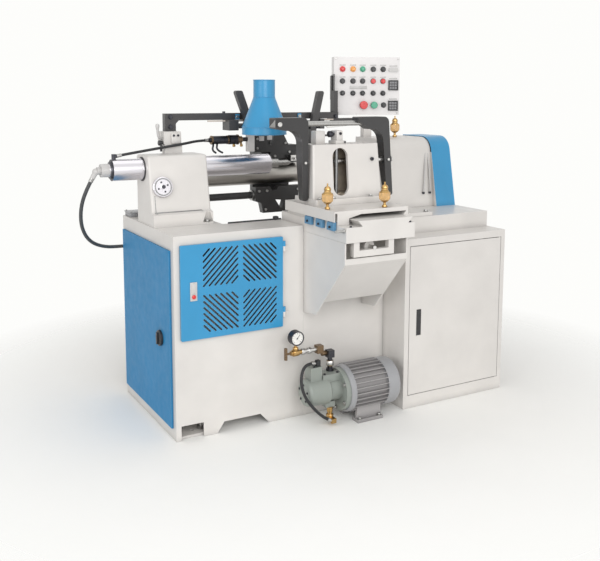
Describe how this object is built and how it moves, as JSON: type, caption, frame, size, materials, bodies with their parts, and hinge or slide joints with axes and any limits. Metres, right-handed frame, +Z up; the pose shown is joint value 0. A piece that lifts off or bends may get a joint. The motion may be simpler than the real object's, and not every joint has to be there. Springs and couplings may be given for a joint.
{
  "type": "short bed copying lathe",
  "caption": "Floor-standing short bed copying lathe: cabinet base, tailstock with hydraulic quill, belt-driven headstock, front cross slide, rear copying carriage, dust hood and control panel.",
  "frame": {"origin": "floor level, at the centre of the four anchor holes under the base", "axes": "+X along the turning axis from tailstock to headstock, -Y towards the operator, +Z up"},
  "size_m": [1.846, 1.072, 1.593],
  "materials": {
    "white_paint": "satin paint",
    "blue_paint": "satin paint",
    "black_paint": "satin paint",
    "steel": "turned",
    "dark_steel": "blackened",
    "motor_grey": "satin paint",
    "black_rubber": "matt",
    "grey_rubber": "matt",
    "brass": "turned",
    "amber_plastic": "gloss",
    "black_plastic": "satin",
    "red_plastic": "gloss",
    "green_plastic": "gloss",
    "chromed_bar": "ground and plated",
    "iron": "machined",
    "dog_blue": "satin paint"
  },
  "bodies": {
    "machine": {"left_pedestal": "white_paint", "right_cabinet": "white_paint", "bridge_frame": "white_paint", "slide_bracket": "white_paint", "slide_base": "white_paint", "feed_cylinder": "white_paint", "levelling_screws": "steel", "tailstock_body": "white_paint", "quill_cylinder": "steel", "headstock_body": "white_paint", "spindle_bearings": "steel", "belt_guard": "blue_paint", "main_motor": "motor_grey", "drive_belts": "black_rubber", "rear_beam": "white_paint", "guide_rod": "dark_steel", "template_rail": "black_paint", "rail_supports": "white_paint", "dust_hood": "blue_paint", "panel_post": "black_paint", "pump_motor": "motor_grey", "pump_body": "motor_grey", "pressure_gauge": "steel", "hydraulic_fittings": "brass", "pump_hose": "black_rubber", "quill_hose": "grey_rubber", "valve_hose": "black_rubber", "solenoid_valve": "dark_steel", "oil_tank": "motor_grey", "headstock_oiler": "brass", "end_cover": "blue_paint", "control_box": "white_paint", "pilot_lamps": "amber_plastic", "panel_switches": "black_plastic"},
    "quill_body": {"quill": "chromed_bar"},
    "live_centre_body": {"live_centre": "steel"},
    "spindle_body": {"spindle": "steel", "spindle_pulley": "iron"},
    "motor_rotor": {"motor_pulley": "iron"},
    "saddle_body": {"saddle": "white_paint", "tool_head": "white_paint", "saddle_oilers": "brass", "trip_dogs": "dog_blue"},
    "swing_frame_body": {"swing_frame": "black_paint"},
    "carriage_body": {"copy_carriage": "black_paint"},
    "tool_slide_body": {"copy_tool_slide": "black_paint"},
    "louvre_door_body": {"louvre_door": "blue_paint"},
    "cabinet_door_body": {"cabinet_door": "white_paint"},
    "end_knob_body": {"end_cover_knob": "black_plastic"},
    "handle_body": {"cabinet_handle": "black_plastic"},
    "lever_body": {"index_levers": "black_paint"},
    "clamp_knob_body": {"quill_clamp_knob": "chromed_bar"},
    "tap_body": {"gauge_tap": "brass"},
    "stop_body": {"emergency_stop": "red_plastic"},
    "start_body": {"start_button": "green_plastic"},
    "button_1_body": {"push_button_1": "black_plastic"},
    "button_2_body": {"push_button_2": "black_plastic"},
    "button_3_body": {"push_button_3": "black_plastic"},
    "button_4_body": {"push_button_4": "black_plastic"},
    "button_5_body": {"push_button_5": "black_plastic"}
  },
  "joints": [
    {"name": "quill_slide", "type": "slide", "parent": "machine", "child": "quill_body", "axis": [1, 0, 0], "range_m": [-0.04, 0.06]},
    {"name": "live_centre_spin", "type": "hinge", "parent": "quill_body", "child": "live_centre_body", "pos_m": [-0.2, 0.05, 1.087], "axis": [1, 0, 0], "continuous": true},
    {"name": "spindle_spin", "type": "hinge", "parent": "machine", "child": "spindle_body", "pos_m": [0.5, 0.05, 1.087], "axis": [1, 0, 0], "continuous": true},
    {"name": "motor_spin", "type": "hinge", "parent": "machine", "child": "motor_rotor", "pos_m": [0.7, 0.05, 0.42], "axis": [1, 0, 0], "continuous": true},
    {"name": "saddle_slide", "type": "slide", "parent": "machine", "child": "saddle_body", "axis": [0, 1, 0], "range_m": [-0.05, 0.06]},
    {"name": "swing_frame_hinge", "type": "hinge", "parent": "saddle_body", "child": "swing_frame_body", "pos_m": [0, -0.34, 1.122], "axis": [1, 0, 0], "range_deg": [-10, 30]},
    {"name": "carriage_slide", "type": "slide", "parent": "machine", "child": "carriage_body", "axis": [1, 0, 0], "range_m": [-0.015, 0.16]},
    {"name": "tool_slide", "type": "slide", "parent": "carriage_body", "child": "tool_slide_body", "axis": [0, -1, 0], "range_m": [0, 0.045]},
    {"name": "louvre_door_hinge", "type": "hinge", "parent": "machine", "child": "louvre_door_body", "pos_m": [-0.3045, -0.34, 0.6], "axis": [0, 0, 1], "range_deg": [0, 95]},
    {"name": "cabinet_door_hinge", "type": "hinge", "parent": "machine", "child": "cabinet_door_body", "pos_m": [0.764, -0.494, 0.4], "axis": [0, 0, 1], "range_deg": [0, 100]},
    {"name": "end_knob_turn", "type": "hinge", "parent": "machine", "child": "end_knob_body", "pos_m": [-0.804, -0.185, 0.403], "axis": [1, 0, 0], "range_deg": [0, 90]},
    {"name": "handle_lift", "type": "hinge", "parent": "cabinet_door_body", "child": "handle_body", "pos_m": [0.295, -0.491, 0.444], "axis": [-1, 0, 0], "range_deg": [0, 35]},
    {"name": "index_lever_swing", "type": "hinge", "parent": "machine", "child": "lever_body", "pos_m": [0, 0.1, 1.262], "axis": [1, 0, 0], "range_deg": [-10, 6]},
    {"name": "clamp_knob_turn", "type": "hinge", "parent": "machine", "child": "clamp_knob_body", "pos_m": [-0.736, -0.04875, 1.015], "axis": [0, -0.9842, 0.1771], "range_deg": [-90, 90]},
    {"name": "gauge_tap_turn", "type": "hinge", "parent": "machine", "child": "tap_body", "pos_m": [-0.32, -0.415, 0.322], "axis": [1, 0, 0], "range_deg": [0, 90]},
    {"name": "stop_press", "type": "slide", "parent": "machine", "child": "stop_body", "axis": [0.3746, 0.9272, 0], "range_m": [0, 0.004], "stiffness_N_per_m": 300},
    {"name": "start_press", "type": "slide", "parent": "machine", "child": "start_body", "axis": [0.3746, 0.9272, 0], "range_m": [0, 0.004], "stiffness_N_per_m": 300},
    {"name": "button_1_press", "type": "slide", "parent": "machine", "child": "button_1_body", "axis": [0.3746, 0.9272, 0], "range_m": [0, 0.004], "stiffness_N_per_m": 250},
    {"name": "button_2_press", "type": "slide", "parent": "machine", "child": "button_2_body", "axis": [0.3746, 0.9272, 0], "range_m": [0, 0.004], "stiffness_N_per_m": 250},
    {"name": "button_3_press", "type": "slide", "parent": "machine", "child": "button_3_body", "axis": [0.3746, 0.9272, 0], "range_m": [0, 0.004], "stiffness_N_per_m": 250},
    {"name": "button_4_press", "type": "slide", "parent": "machine", "child": "button_4_body", "axis": [0.3746, 0.9272, 0], "range_m": [0, 0.004], "stiffness_N_per_m": 250},
    {"name": "button_5_press", "type": "slide", "parent": "machine", "child": "button_5_body", "axis": [0.3746, 0.9272, 0], "range_m": [0, 0.004], "stiffness_N_per_m": 250}
  ],
  "couplings": [
    {"joint": "motor_spin", "follows": "spindle_spin", "ratio": 1.463}
  ]
}
